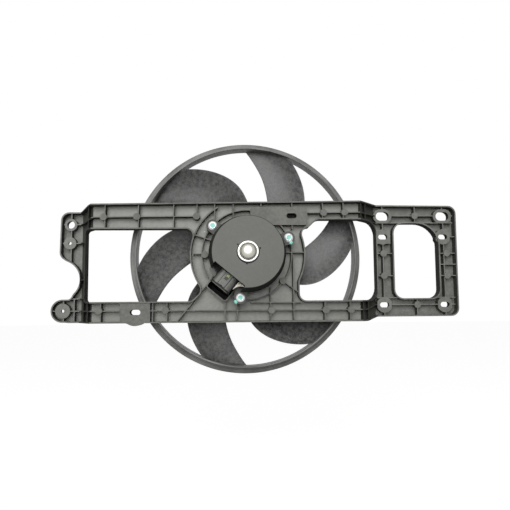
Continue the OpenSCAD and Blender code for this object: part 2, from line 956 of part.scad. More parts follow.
module cap_ring() {
  f = cover_face;
  color(steel)
    turned([[bearing_r + 2 + seat_gap, f], [13.3, f], [13.3, f + 1], [12.7, f + 1.6],
      [bearing_r + 2 + seat_gap, f + 1.6]]);
}

module motor_screws() {
  color(steel)
    for (a = ear_angles)
      translate([ear_r * cos(a), 0, ear_r * sin(a)])
        difference() {
          union() {
            post(0, 0, screw_core_r, mid_floor + 4, ear_top + 0.5);
            post(0, 0, screw_head_r, ear_top, ear_top + 1.3);
            post(0, 0, 4.1, ear_top + 1, ear_top + 3.6);
          }
          slab(ear_top + 1.8, ear_top + 5)
            circle(r = 2.6, $fn = 6);
        }
}

/* The rotor */

module shaft() {
  color(steel)
    difference() {
      rotate([90, 0, 0])
        translate([0, 0, shaft_tip])
          cylinder(r = shaft_r, h = shaft_end - shaft_tip);
      turned([[shaft_r - 0.6, shaft_tip + 1], [shaft_r + 1, shaft_tip + 1], [shaft_r + 1, shaft_tip + 1.9],
        [shaft_r - 0.6, shaft_tip + 1.9]]);
      translate([0, -pin_d, 0])
        cylinder(r = pin_r, h = 40, center = true);
    }
}

pin_r = 1.25;
pin_d = fan_back + 4.2;

// A cross pin that drives the hub bush.
module drive_pin() {
  color(steel)
    translate([0, -pin_d, 0])
      cylinder(r = pin_r, h = 2 * bush_r - 1, center = true);
}

module hub_bush() {
  color(brass)
    difference() {
      turned([[shaft_r, bush_d[0]], [bush_r, bush_d[0]], [bush_r, bush_d[1]], [shaft_r, bush_d[1]]]);
      translate([0, -pin_d, 0])
        cylinder(r = pin_r, h = 40, center = true);
    }
}

module shaft_clip() {
  color(steel)
    slab(shaft_tip + 1, shaft_tip + 1.9)
      difference() {
        circle(r = 7.5);
        circle(r = shaft_r - 0.6);
        translate([0, -6])
          square([4.6, 12], center = true);
      }
}

module thrust_washer() {
  color(cream)
    turned([[shaft_r, bush_d[1]], [9, bush_d[1]],
      [9, can_front - seat_gap], [shaft_r, can_front - seat_gap]]);
}

module armature_core() {
  color([0.45, 0.45, 0.46])
    slab(core_d[0], core_d[1])
      difference() {
        circle(r = core_r, $fn = 72);
        circle(r = shaft_r);
        for (i = [0 : 11])
          rotate(30 * i) {
            translate([core_r, 0])
              square([6, 2.2], center = true);
            translate([core_r - 9, 0])
              circle(r = 5);
          }
      }
}

module armature_windings() {
  color(copper) {
    for (d = [[core_d[0] - 4.5, core_d[0]], [core_d[1], core_d[1] + 5]])
      turned([[10, d[0] + 1], [14, d[0]], [28, d[0]], [31.5, d[0] + 1.2], [31.5, d[1]], [10, d[1]]]);
    for (i = [0 : 11])
      post((core_r - 9) * cos(30 * i), (core_r - 9) * sin(30 * i), 4.7, core_d[0] - 0.5, core_d[1] + 0.5);
  }
}

module commutator() {
  d0 = commutator_d[0];
  d1 = commutator_d[1];
  color(copper)
    difference() {
      turned([[shaft_r, core_d[1] + 5.2], [8, core_d[1] + 5.2], [8, d0 - 2.2], [commutator_r + 1.5, d0 - 2.2],
        [commutator_r + 1.5, d0], [commutator_r, d0], [commutator_r, d1], [shaft_r, d1]], 72);
      for (i = [0 : 11])
        rotate([0, -30 * i, 0])
          translate([commutator_r - 1, -d1 - 1, -0.25])
            cube([4, d1 - d0 + 4, 0.5]);
    }
}

/* The fan. Each row: radius, angle of the back edge, angle of the front edge, depths of both edges */

blade_rows = [
  [hub_r - 1, 60, 22.8, 11, 26.2],
  [69, 63.5, 26.8, 11.2, 26.4],
  [76, 66.4, 29.6, 11.3, 26.4],
  [82, 68.9, 31.6, 11.4, 26.3],
  [88, 71.2, 33.3, 11.4, 26.2],
  [94, 73.1, 35.7, 11.2, 26.1],
  [100, 74.9, 38.5, 10.9, 26],
  [106, 76.9, 41.7, 10.5, 25.8],
  [112, 79, 45, 10, 25.6],
  [118, 81.1, 48.5, 9.5, 25.4],
  [124, 83, 52.1, 9, 25.1],
  [130, 84.9, 55.9, 8.6, 24.8],
  [136, 86.8, 59.8, 8.3, 24.5],
  [141, 88.5, 63.4, 8.1, 24.2],
  [ring_r + 1, 90.2, 67.2, 8, 24]
];
blade_cuts = 8;
blade_half_t = 1.15;

// A point of the blade at row i, fraction u of the chord and side s.
function blade_pt(i, u, s) =
  let (row = blade_rows[i],
    a = row[1] + (row[2] - row[1]) * u,
    camber = 3.4 * 4 * u * (1 - u),
    thick = blade_half_t * (0.35 + 0.65 * sqrt(4 * u * (1 - u))),
    d = row[3] + (row[4] - row[3]) * u - camber + s * thick)
  [row[0] * cos(a), -d, row[0] * sin(a)];

module blade() {
  n = len(blade_rows);
  m = blade_cuts + 1;
  front = [for (i = [0 : n - 1]) for (j = [0 : m - 1]) blade_pt(i, j / blade_cuts, 1)];
  back = [for (i = [0 : n - 1]) for (j = [0 : m - 1]) blade_pt(i, j / blade_cuts, -1)];
  o = n * m;
  grid = [for (i = [0 : n - 2])
    for (j = [0 : m - 2])
      [i * m + j, i * m + j + 1, (i + 1) * m + j + 1, (i + 1) * m + j]];
  tris = [for (q = grid) for (k = [0, 1]) k == 0 ? [q[0], q[1], q[2]] : [q[0], q[2], q[3]]];
  rim = concat([for (j = [0 : m - 2]) [j, j + 1]],
    [for (i = [0 : n - 2]) [i * m + m - 1, (i + 1) * m + m - 1]],
    [for (j = [m - 1 : -1 : 1]) [(n - 1) * m + j, (n - 1) * m + j - 1]],
    [for (i = [n - 1 : -1 : 1]) [i * m, (i - 1) * m]]);
  edge = [for (e = rim) for (k = [0, 1]) k == 0 ? [e[0], e[1] + o, e[0] + o] : [e[0], e[1], e[1] + o]];
  polyhedron(points = concat(front, back),
    faces = concat([for (t = tris) [t[0], t[2], t[1]]],
      [for (t = tris) [t[0] + o, t[1] + o, t[2] + o]], edge));
}

module fan_impeller() {
  r = hub_r;
  b = fan_back;
  w = ring_r + ring_t;
  color(blade_nylon)
    difference() {
      union() {
        // Hub
        turned([[bush_r, b], [r - 6, b], [r - 3, b + 0.8], [r - 0.9, b + 3], [r, b + 6], [r, fan_front],
          [r - hub_t, fan_front], [r - hub_t, b + face_t + 2.5], [r - hub_t - 2.5, b + face_t],
          [bush_r + 3, b + face_t], [bush_r + 3, bush_d[1] - 0.4], [bush_r, bush_d[1] - 0.4]], 96);
        // Ribs inside the hub
        for (i = [0 : blades - 1])
          rotate([0, -60 * i - 10, 0])
            translate([bush_r + 2, -b - face_t - 2.6, -0.9])
              cube([r - bush_r - 4, 3, 1.8]);
        for (i = [0 : blades - 1])
          rotate([0, -360 / blades * i, 0])
            blade();
        // Ring with its flared lip
        turned([[ring_r, b], [lip_r - 0.6, b], [lip_r, b + 0.6], [lip_r, b + 2.2], [w + 2.6, b + 3],
          [w, b + 6], [w, fan_front - 0.6], [w - 0.6, fan_front], [ring_r, fan_front]], 120);
      }
      // Air holes in the hub's face
      for (i = [0 : 5])
        rotate([0, -60 * i - 40, 0])
          slab(b - 1, b + face_t + 1)
            translate([34, 0])
              circle(r = 4);
    }
}

carrier_frame();
motor_can();
front_bearing();
magnet_1();
magnet_2();
magnet_clips();
brush_plate();
brush_holder_1();
brush_holder_2();
brush_leads();
choke_coils();
terminals();
lead_guide();
connector_shell();
connector_lock();
motor_cover();
bearing_cap();
cap_ring();
rear_bearing();
motor_screws();
shaft();
armature_core();
armature_windings();
commutator();
fan_impeller();
hub_bush();
shaft_clip();
thrust_washer();
drive_pin();
brush_1();
brush_2();
brush_spring_1();
brush_spring_2();
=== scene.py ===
import bpy
import bmesh
import json
import math
import numpy as np
from mathutils import Matrix, Vector
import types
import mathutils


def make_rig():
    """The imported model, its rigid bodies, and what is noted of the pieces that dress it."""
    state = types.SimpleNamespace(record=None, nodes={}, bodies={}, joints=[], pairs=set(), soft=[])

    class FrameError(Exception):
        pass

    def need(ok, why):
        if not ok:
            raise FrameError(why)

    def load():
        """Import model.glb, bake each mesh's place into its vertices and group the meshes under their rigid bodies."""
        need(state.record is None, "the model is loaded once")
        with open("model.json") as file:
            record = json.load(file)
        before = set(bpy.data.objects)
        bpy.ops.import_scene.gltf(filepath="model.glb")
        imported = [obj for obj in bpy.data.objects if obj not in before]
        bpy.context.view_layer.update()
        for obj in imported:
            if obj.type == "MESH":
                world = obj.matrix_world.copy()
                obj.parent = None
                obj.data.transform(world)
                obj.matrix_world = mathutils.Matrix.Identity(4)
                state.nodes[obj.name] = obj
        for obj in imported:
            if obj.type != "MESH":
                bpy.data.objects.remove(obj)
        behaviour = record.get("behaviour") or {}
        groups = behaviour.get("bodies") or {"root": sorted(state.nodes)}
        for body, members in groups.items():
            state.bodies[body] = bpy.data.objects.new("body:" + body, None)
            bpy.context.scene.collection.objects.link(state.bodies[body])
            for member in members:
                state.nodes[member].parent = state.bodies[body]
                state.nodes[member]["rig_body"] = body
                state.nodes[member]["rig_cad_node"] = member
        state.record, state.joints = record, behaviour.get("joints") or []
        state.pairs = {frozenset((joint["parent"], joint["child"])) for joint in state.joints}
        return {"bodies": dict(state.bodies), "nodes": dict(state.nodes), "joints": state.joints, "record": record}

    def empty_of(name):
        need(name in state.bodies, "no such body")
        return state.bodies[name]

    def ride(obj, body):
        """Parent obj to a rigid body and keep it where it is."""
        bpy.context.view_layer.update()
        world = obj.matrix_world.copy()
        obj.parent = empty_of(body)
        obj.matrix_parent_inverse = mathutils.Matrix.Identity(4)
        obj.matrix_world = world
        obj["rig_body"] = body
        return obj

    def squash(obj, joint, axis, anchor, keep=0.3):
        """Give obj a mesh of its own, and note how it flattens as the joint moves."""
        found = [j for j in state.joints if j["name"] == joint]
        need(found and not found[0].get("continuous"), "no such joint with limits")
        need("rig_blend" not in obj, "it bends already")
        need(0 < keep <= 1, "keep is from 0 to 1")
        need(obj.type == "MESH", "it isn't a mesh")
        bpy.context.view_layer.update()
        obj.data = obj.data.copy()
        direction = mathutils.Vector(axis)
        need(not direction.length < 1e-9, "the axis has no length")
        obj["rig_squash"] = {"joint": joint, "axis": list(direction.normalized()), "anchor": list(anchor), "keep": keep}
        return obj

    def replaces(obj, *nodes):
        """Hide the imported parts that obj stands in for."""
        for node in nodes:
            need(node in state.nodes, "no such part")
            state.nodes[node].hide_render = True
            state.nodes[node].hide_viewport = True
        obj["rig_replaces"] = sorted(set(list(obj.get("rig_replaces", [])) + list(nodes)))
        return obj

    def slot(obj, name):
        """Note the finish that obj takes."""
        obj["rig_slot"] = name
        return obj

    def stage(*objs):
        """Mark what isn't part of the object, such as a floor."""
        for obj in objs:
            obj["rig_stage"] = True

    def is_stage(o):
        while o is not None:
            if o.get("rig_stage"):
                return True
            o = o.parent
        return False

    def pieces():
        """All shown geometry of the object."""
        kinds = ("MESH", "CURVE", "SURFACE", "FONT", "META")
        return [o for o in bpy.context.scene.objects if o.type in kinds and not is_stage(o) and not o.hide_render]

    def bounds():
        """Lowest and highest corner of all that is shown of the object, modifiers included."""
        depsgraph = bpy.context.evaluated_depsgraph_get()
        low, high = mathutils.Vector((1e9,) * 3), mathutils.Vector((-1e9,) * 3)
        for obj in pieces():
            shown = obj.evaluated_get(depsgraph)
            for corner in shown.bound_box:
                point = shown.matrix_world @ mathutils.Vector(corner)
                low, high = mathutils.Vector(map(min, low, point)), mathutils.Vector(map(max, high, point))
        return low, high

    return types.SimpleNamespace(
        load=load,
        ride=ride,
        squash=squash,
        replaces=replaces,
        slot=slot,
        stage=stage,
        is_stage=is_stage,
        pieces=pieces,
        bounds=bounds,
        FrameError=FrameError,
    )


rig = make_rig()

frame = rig.load()
start_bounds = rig.bounds()
cad = frame["nodes"]
MM = 0.001

# Places are X, Z and depth in millimetres. Depth runs along the fan axis, from the radiator side towards
# the viewer. Angles are in degrees about the fan axis, from X towards Z.

# Colour and nodes


def srgb(code):
    """A hex colour as it looks, turned into Blender's linear values."""
    parts = [int(code[i:i + 2], 16) / 255 for i in (1, 3, 5)]
    return tuple(c / 12.92 if c <= 0.04045 else ((c + 0.055) / 1.055) ** 2.4 for c in parts) + (1.0,)


def per_metre(size_mm):
    """The scale at which a pattern's features are about size_mm across."""
    return 1000.0 / size_mm


def add(tree, kind, values=None, **settings):
    """Adds a node, sets its options, and gives its inputs a value or a link."""
    node = tree.nodes.new(kind if kind.startswith(("Geometry", "NodeGroup")) else "ShaderNode" + kind)
    for key, value in settings.items():
        setattr(node, key, value)
    for key, value in (values or {}).items():
        if isinstance(value, bpy.types.NodeSocket):
            tree.links.new(value, node.inputs[key])
        else:
            node.inputs[key].default_value = value
    return node


def blank(name):
    """A new material without nodes, and its tree."""
    mat = bpy.data.materials.new(name)
    mat.use_nodes = True
    mat.node_tree.nodes.clear()
    return mat, mat.node_tree


def front_faces(t, least=0.8):
    """1 on faces square to the fan axis, 0 on those that lean past least."""
    normal = add(t, "SeparateXYZ", {0: add(t, "TexCoord").outputs["Normal"]})
    size = add(t, "Math", {0: normal.outputs["Y"]}, operation="ABSOLUTE")
    return add(t, "MapRange", {"Value": size.outputs[0], "From Min": least, "From Max": 0.97}).outputs[0]


def depth_mask(t, near, far):
    """0 at depth near and 1 at depth far."""
    where = add(t, "SeparateXYZ", {0: add(t, "TexCoord").outputs["Object"]})
    away = where.outputs["Y"]
    return add(t, "MapRange", {"Value": away, "From Min": -near * MM, "From Max": -far * MM}).outputs[0]


def round_axis(t):
    """Distance from the fan axis and depth, for marks that run round the axis."""
    where = add(t, "SeparateXYZ", {0: add(t, "TexCoord").outputs["Object"]})
    flat = add(t, "CombineXYZ", {"X": where.outputs["X"], "Z": where.outputs["Z"]})
    radius = add(t, "VectorMath", {0: flat.outputs[0]}, operation="LENGTH").outputs["Value"]
    return add(t, "CombineXYZ", {"X": radius, "Y": where.outputs["Y"]}).outputs[0]


def moulded(name, base, dark, rough=0.5, mottle_mm=14, grain_mm=0.6, grain=0.05, contrast=1.0, spec=0.5,
            smooth=None, painted_floor_light=None, side_shade=None, turn=0.8, streak_mm=None):
    """Glass-filled nylon as moulded: cloudy flow marks, a fine grain and a satin gloss that varies.

    The flow marks go from dark to base and are mottle_mm across. Over them lie finer ones of a sixth of that,
    or streaks that run round the fan axis and are streak_mm wide.
    The grain is grain mm deep. The real one is about 0.1 mm wide and is drawn grain_mm wide, so it shows.
    smooth is the roughness of the flat floors that the polished half of the mould leaves, and painted_floor_light the
    paler colour that the nearer of those floors take as painted light.
    side_shade is a darker colour painted on walls and ribs as painted shade, reached where they lean past turn.
    """
    mat, t = blank(name)
    where = add(t, "TexCoord").outputs["Object"]
    cloud = add(t, "TexNoise", {"Vector": where, "Scale": per_metre(mottle_mm), "Detail": 5,
                                "Roughness": 0.62}).outputs["Fac"]
    fine = add(t, "TexNoise", {"Vector": round_axis(t) if streak_mm else where,
                               "Scale": per_metre(streak_mm or mottle_mm / 6),
                               "Detail": 3 if streak_mm else 4, "Roughness": 0.6}).outputs["Fac"]
    both = add(t, "Math", {0: cloud, 1: fine}, operation="ADD").outputs[0]
    marks = add(t, "MapRange", {"Value": both, "From Min": 0.8, "From Max": 1.2,
                                "To Min": 0.5 - 0.5 * contrast, "To Max": 0.5 + 0.5 * contrast}).outputs[0]
    colour = add(t, "MixRGB", {"Fac": marks, "Color1": srgb(dark), "Color2": srgb(base)}).outputs[0]
    gloss = add(t, "MapRange", {"Value": cloud, "From Min": 0.3, "From Max": 0.7,
                                "To Min": rough - 0.07, "To Max": rough + 0.07}).outputs[0]
    if smooth:
        # Only floors below the rails are smooth, and of them only those nearer to the viewer get the paler colour,
        # painted light
        front = front_faces(t)
        on_floor = add(t, "Math", {0: front, 1: depth_mask(t, 45, 40)}, operation="MULTIPLY").outputs[0]
        shine = add(t, "MapRange", {"Value": cloud, "From Min": 0.35, "From Max": 0.65,
                                    "To Min": smooth - 0.08, "To Max": smooth + 0.1}).outputs[0]
        gloss = add(t, "MapRange", {"Value": on_floor, "To Min": gloss, "To Max": shine}).outputs[0]
        light = add(t, "MixRGB", {"Fac": marks, "Color1": srgb(base), "Color2": srgb(painted_floor_light)}).outputs[0]
        on_floor = add(t, "Math", {0: on_floor, 1: depth_mask(t, 22, 28)}, operation="MULTIPLY").outputs[0]
        colour = add(t, "MixRGB", {"Fac": on_floor, "Color1": colour, "Color2": light}).outputs[0]
    # Painted shade: walls and ribs that lean past turn take a darker colour, and their specular level drops
    if side_shade:
        square = front_faces(t, turn)
        colour = add(t, "MixRGB", {"Fac": square, "Color1": srgb(side_shade), "Color2": colour}).outputs[0]
        spec = add(t, "MapRange", {"Value": square, "To Min": 0.01, "To Max": spec}).outputs[0]
    grit = add(t, "TexNoise", {"Vector": where, "Scale": per_metre(grain_mm), "Detail": 3, "Roughness": 0.7})
    bump = add(t, "Bump", {"Height": grit.outputs["Fac"], "Strength": 0.6, "Distance": grain * MM})
    bsdf = add(t, "BsdfPrincipled", {"Base Color": colour, "Roughness": gloss, "Specular IOR Level": spec,
                                     "Normal": bump.outputs[0]})
    add(t, "OutputMaterial", {"Surface": bsdf.outputs[0]})
    return mat


def uneven_gloss(t, rough, spread, patch_mm, detail):
    """A roughness that varies by spread about rough, in patches patch_mm across."""
    where = add(t, "TexCoord").outputs["Object"]
    cloud = add(t, "TexNoise", {"Vector": where, "Scale": per_metre(patch_mm), "Detail": detail,
                                "Roughness": 0.6})
    return add(t, "MapRange", {"Value": cloud.outputs["Fac"], "From Min": 0.3, "From Max": 0.7,
                               "To Min": rough - spread, "To Max": rough + spread}).outputs[0]


def metal(name, base, rough, patch_mm=4, spread=0.05):
    """A metal surface with faint uneven polish."""
    mat, t = blank(name)
    gloss = uneven_gloss(t, rough, spread, patch_mm, 4)
    bsdf = add(t, "BsdfPrincipled", {"Base Color": srgb(base), "Metallic": 1.0, "Roughness": gloss})
    add(t, "OutputMaterial", {"Surface": bsdf.outputs[0]})
    return mat


def plain(name, base, rough, spec=0.3):
    """A surface of one colour that isn't metal, with a faintly uneven gloss."""
    mat, t = blank(name)
    gloss = uneven_gloss(t, rough, 0.05, 5, 3)
    bsdf = add(t, "BsdfPrincipled", {"Base Color": srgb(base), "Roughness": gloss,
                                     "Specular IOR Level": spec})
    add(t, "OutputMaterial", {"Surface": bsdf.outputs[0]})
    return mat


LOOKS = {
    # Long carrier, nylon as moulded: satin mid grey and glossier on its floors, with painted light making the nearer
    # floors paler and painted shade darkening its walls
    "carrier": moulded("moulded_nylon_carrier", "#7f807a", "#666762", rough=0.75, mottle_mm=26, contrast=0.9,
                       spec=0.35, smooth=0.4, painted_floor_light="#8d8e87", side_shade="#575853"),
    # Blades, darker nylon: a mottled, slightly scratched skin whose patches catch the light
    "fan": moulded("moulded_nylon_fan", "#5b5c5a", "#222322", rough=0.42, mottle_mm=4.5, contrast=1.3,
                   grain=0.06, spec=0.45),
    # Ring of the fan, the same nylon: scuffed grey in streaks that run round it
    "fan_ring": moulded("scuffed_nylon_ring", "#8d8e8b", "#4e4f4d", rough=0.5, mottle_mm=40, grain=0.04,
                        spec=0.4, streak_mm=1.4),
    # Hollow of the hub: the nylon drawn near black and matt, painted shade deep in the hollow
    "fan_hub": moulded("hub_hollow_painted_shade", "#222322", "#161716", rough=0.6, mottle_mm=20, contrast=0.8,
                       spec=0.06),
    # Motor cover, nylon from an etched mould: even grey with a fine grain, and painted shade, almost black, where it
    # leans away
    "cover": moulded("textured_nylon_cover", "#7a7b76", "#72736e", rough=0.55, mottle_mm=18, grain_mm=0.8,
                     grain=0.08, contrast=0.6, spec=0.08, side_shade="#383936"),
    # Connector, black nylon from a polished mould: its front drawn grey as a painted reflection of the light, near
    # black where it leans away, its own black with painted shade
    "connector": moulded("glossy_black_nylon", "#62635d", "#52534e", rough=0.36, mottle_mm=8, grain_mm=0.5,
                         grain=0.01, contrast=0.6, spec=0.4, side_shade="#141412", turn=0.3),
    # Motor can, a dip coat: flat dark grey with a low sheen; the same grey on the sheet at the bottom of the latch
    # pocket is painted shade
    "painted": plain("grey_dip_coat", "#5a5b57", 0.55, 0.12),
    # Brush plate, black nylon: near black with a soft sheen, its own black drawn darker still as painted shade
    "black_plastic": plain("satin_black_nylon", "#161616", 0.5, 0.15),
    # Painted shadow: near-black nylon at the bottom of the cover's gap round the bright ring and on the band by the
    # connector's lip
    "socket": plain("painted_shadow_nylon", "#1c1c1d", 0.5, 0.2),
    # Screws, bright zinc plate: pale and slightly blue, cloudy from tumbling
    "zinc": metal("bright_zinc_plate", "#c3c7c7", 0.38, 1.5),
    # Flange under the hexagon: the same plating, dulled by oil
    "oiled_zinc": metal("oiled_zinc_plate", "#cfcbcc", 0.55, 1.5),
    # Shaft, bush, pin, clips and springs, ground or drawn steel: a neutral grey that is half bright
    "steel": metal("ground_steel", "#b9bab8", 0.3),
    # Ring round the cap, pressed steel that was polished: one soft, wide highlight
    "bright_steel": metal("polished_pressed_steel", "#c6c6c2", 0.48, 6, 0.03),
    # Dome, deep-drawn steel with a satin skin: bright in the middle and grey at its rim
    "dome": metal("satin_drawn_steel", "#b5b4ac", 0.4, 6, 0.03),
    # Plain bearings, sintered bronze soaked in oil: a dull brown gold
    "bronze": metal("oiled_sintered_bronze", "#b08a55", 0.4),
    # Brush holders and terminals, stamped brass: yellow and bright
    "brass": metal("stamped_brass", "#c9a45c", 0.3),
    # Windings, chokes, leads and commutator, drawn copper: red brown, and bright as wire is
    "copper": metal("drawn_copper", "#b5652f", 0.32),
    # Armature core, a stack of punched steel sheet: mid grey and dull
    "core": metal("punched_steel_sheet", "#77777a", 0.45),
    # Magnets, sintered ferrite: charcoal, dull as stoneware
    "ferrite": plain("sintered_ferrite", "#38363a", 0.6),
    # Brushes, pressed graphite: black with no more than a faint sheen
    "carbon": plain("pressed_graphite", "#1f1e1e", 0.6),
    # Lead guide and thrust washer, undyed moulded nylon: a warm white, drawn close to white as painted light against
    # the cover's shade
    "cream_plastic": plain("undyed_moulded_nylon", "#fbf6e9", 0.45),
    # Frame of the connector's lock, dyed moulded nylon: olive green, satin
    "green_plastic": plain("green_moulded_nylon", "#56643f", 0.4),
    # Pad of the lock: the same nylon, rubbed pale
    "pale_green": plain("rubbed_green_nylon", "#a9ba8c", 0.45),
    # Marks on and beside the screws, brushed thread-lock paint: light teal, glossy where it flowed
    "teal_paint": plain("thread_lock_paint", "#92dccd", 0.25),
}

# Meshes


def point(x, z, d):
    """A point from X, Z and depth in millimetres."""
    return Vector((x, -d, z)) * MM


def depths(name):
    """The depths between which a CAD node lies, in millimetres."""
    ends = [-(cad[name].matrix_world @ v.co).y / MM for v in cad[name].data.vertices]
    return round(min(ends), 2), round(max(ends), 2)


def make(name, verts, faces, mat, smooth=35):
    """A new object of one material, with its doubles merged and its faces turned outwards."""
    mesh = bpy.data.meshes.new(name)
    mesh.from_pydata([tuple(v) for v in verts], [], faces)
    bm = bmesh.new()
    bm.from_mesh(mesh)
    bmesh.ops.remove_doubles(bm, verts=bm.verts, dist=1e-7)
    bmesh.ops.recalc_face_normals(bm, faces=bm.faces)
    bm.to_mesh(mesh)
    bm.free()
    obj = bpy.data.objects.new(name, mesh)
    bpy.context.scene.collection.objects.link(obj)
    mesh.materials.append(mat)
    soften(obj, smooth)
    return obj


def soften(obj, angle=35):
    """Shades a mesh smooth, apart from edges sharper than angle."""
    obj.data.shade_smooth()
    obj.data.set_sharp_from_angle(angle=math.radians(angle))


def round_loop(corners, steps=4):
    """A closed 2D loop with rounded corners, from the two places and the radius of each corner."""
    out = []
    for i, (*corner, radius) in enumerate(corners):
        p = np.array(corner, float)
        a = np.array(corners[i - 1][:2], float) - p
        b = np.array(corners[(i + 1) % len(corners)][:2], float) - p
        la, lb = np.linalg.norm(a), np.linalg.norm(b)
        half = math.acos(max(-1, min(1, a.dot(b) / la / lb))) / 2
        if radius <= 0 or abs(math.pi / 2 - half) < 0.02:
            out.append(tuple(p))
            continue
        reach = min(radius / math.tan(half), la * 0.48, lb * 0.48)
        p0, p1 = p + a / la * reach, p + b / lb * reach
        for k in range(steps + 1):
            u = k / steps
            out.append(tuple((1 - u) ** 2 * p0 + 2 * u * (1 - u) * p + u ** 2 * p1))
    return out


def circle(r, n=48, at=(0, 0)):
    """A loop of n points round a place."""
    turns = [2 * math.pi * i / n for i in range(n)]
    return [(at[0] + r * math.cos(a), at[1] + r * math.sin(a)) for a in turns]


def lathe(name, loop, mat, n=160, smooth=35, at=(0, 0)):
    """A body turned about the fan axis, or a line beside it, from a closed loop of (radius, depth)."""
    verts, faces = [], []
    m = len(loop)
    for i in range(n):
        a = 2 * math.pi * i / n
        verts += [point(at[0] + r * math.cos(a), at[1] + r * math.sin(a), d) for r, d in loop]
        q = (i + 1) % n
        faces += [(i * m + j, i * m + (j + 1) % m, q * m + (j + 1) % m, q * m + j) for j in range(m)]
    return make(name, verts, faces, mat, smooth)


def drawn_out(name, start, end, mat, bevel):
    """A straight body between two loops of points that match one another."""
    n = len(start)
    faces = [tuple(range(n)), tuple(range(2 * n - 1, n - 1, -1))]
    faces += [(i, (i + 1) % n, (i + 1) % n + n, i + n) for i in range(n)]
    obj = make(name, start + end, faces, mat)
    if bevel:
        edge(obj, bevel)
    return obj


def prism(name, loop, d0, d1, mat, bevel=0.0, angle=0.0):
    """A loop of (x, z), turned by angle about the fan axis, drawn out from depth d0 to d1."""
    c, s = math.cos(math.radians(angle)), math.sin(math.radians(angle))
    start, end = [[point(c * x - s * z, s * x + c * z, d) for x, z in loop] for d in (d0, d1)]
    return drawn_out(name, start, end, mat, bevel)


def along(name, loop, u0, u1, mat, angle, bevel=0.0):
    """A loop of (v, depth) drawn out from u0 to u1 off the fan axis, at an angle about it."""
    c, s = math.cos(math.radians(angle)), math.sin(math.radians(angle))
    start, end = [[point(c * u - s * v, s * u + c * v, d) for v, d in loop] for u in (u0, u1)]
    return drawn_out(name, start, end, mat, bevel)


def box(name, x, z, d, mat, bevel=0.0, angle=0.0):
    """A box between two values each of X, Z and depth, turned by angle about the fan axis."""
    loop = [(x[0], z[0]), (x[1], z[0]), (x[1], z[1]), (x[0], z[1])]
    return prism(name, loop, d[0], d[1], mat, bevel, angle)


def edge(obj, width_mm, angle=30):
    """Rounds every edge sharper than angle."""
    mod = obj.modifiers.new("edge", "BEVEL")
    mod.width = width_mm * MM
    mod.segments = 2
    mod.limit_method = "ANGLE"
    mod.angle_limit = math.radians(angle)
    mod.harden_normals = True


def apply(obj):
    """Turns the modifiers into the mesh."""
    graph = bpy.context.evaluated_depsgraph_get()
    mesh = bpy.data.meshes.new_from_object(obj.evaluated_get(graph))
    obj.modifiers.clear()
    obj.data = mesh
    return obj


def cut(obj, *tools, mode="DIFFERENCE"):
    """Takes tools away from a body, or joins or meets them with it, and removes the tools."""
    for tool in tools:
        mod = obj.modifiers.new("cut", "BOOLEAN")
        mod.operation = mode
        mod.solver = "EXACT"
        mod.object = tool
        bpy.context.view_layer.update()
        apply(obj)
        bpy.data.objects.remove(tool)
    soften(obj)
    return obj


def join(name, *objs):
    """Several bodies as one mesh, each with its own materials."""
    bm = bmesh.new()
    mats = []
    graph = bpy.context.evaluated_depsgraph_get()
    for obj in objs:
        mesh = bpy.data.meshes.new_from_object(obj.evaluated_get(graph))
        mats += [m for m in mesh.materials if m not in mats]
        index = [mats.index(m) for m in mesh.materials]
        first = len(bm.faces)
        bm.from_mesh(mesh)
        bm.faces.ensure_lookup_table()
        for face in bm.faces[first:]:
            face.material_index = index[face.material_index]
    mesh = bpy.data.meshes.new(name)
    bm.to_mesh(mesh)
    bm.free()
    for m in mats:
        mesh.materials.append(m)
    for obj in objs:
        bpy.data.objects.remove(obj)
    whole = bpy.data.objects.new(name, mesh)
    bpy.context.scene.collection.objects.link(whole)
    return whole


def piece(obj, body, slot, *nodes):
    """Puts a piece on its body and lets it stand for CAD nodes."""
    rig.ride(obj, body)
    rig.slot(obj, slot)
    if nodes:
        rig.replaces(obj, *nodes)
    return obj


# What repeats about the fan axis


def repeat_tree():
    """Geometry Nodes that turn Count copies of a mesh about the fan axis, Step degrees apart from Start."""
    tree = bpy.data.node_groups.new("repeat_about_axis", "GeometryNodeTree")
    inputs = {"Geometry": "Geometry", "Count": "Int", "Step": "Float", "Start": "Float",
              "Material": "Material"}
    for label, kind in inputs.items():
        tree.interface.new_socket(label, in_out="INPUT", socket_type="NodeSocket" + kind)
    tree.interface.new_socket("Geometry", in_out="OUTPUT", socket_type="NodeSocketGeometry")
    given = add(tree, "NodeGroupInput").outputs
    points = add(tree, "GeometryNodePoints", {"Count": given["Count"]})
    number = add(tree, "GeometryNodeInputIndex").outputs[0]
    degrees = add(tree, "Math", {0: number, 1: given["Step"], 2: given["Start"]}, operation="MULTIPLY_ADD")
    angle = add(tree, "Math", {0: degrees.outputs[0], 1: -math.pi / 180}, operation="MULTIPLY")
    turn = add(tree, "CombineXYZ", {"Y": angle.outputs[0]})
    copies = add(tree, "GeometryNodeInstanceOnPoints", {
        "Points": points.outputs[0], "Instance": given["Geometry"], "Rotation": turn.outputs[0]})
    real = add(tree, "GeometryNodeRealizeInstances", {0: copies.outputs[0]}).outputs[0]
    dressed = add(tree, "GeometryNodeSetMaterial", {"Geometry": real, "Material": given["Material"]})
    add(tree, "NodeGroupOutput", {0: dressed.outputs[0]})
    return tree


REPEAT = repeat_tree()


def around(obj, count, start=0.0):
    """Repeats a mesh evenly about the fan axis and makes it a plain mesh."""
    if obj.modifiers:
        apply(obj)
    mod = obj.modifiers.new("repeat", "NODES")
    mod.node_group = REPEAT
    key = {i.name: i.identifier for i in REPEAT.interface.items_tree if i.in_out == "INPUT"}
    wanted = {"Count": count, "Step": 360 / count, "Start": float(start), "Material": obj.data.materials[0]}
    for label, value in wanted.items():
        mod[key[label]] = value
    apply(obj)
    soften(obj)
    return obj


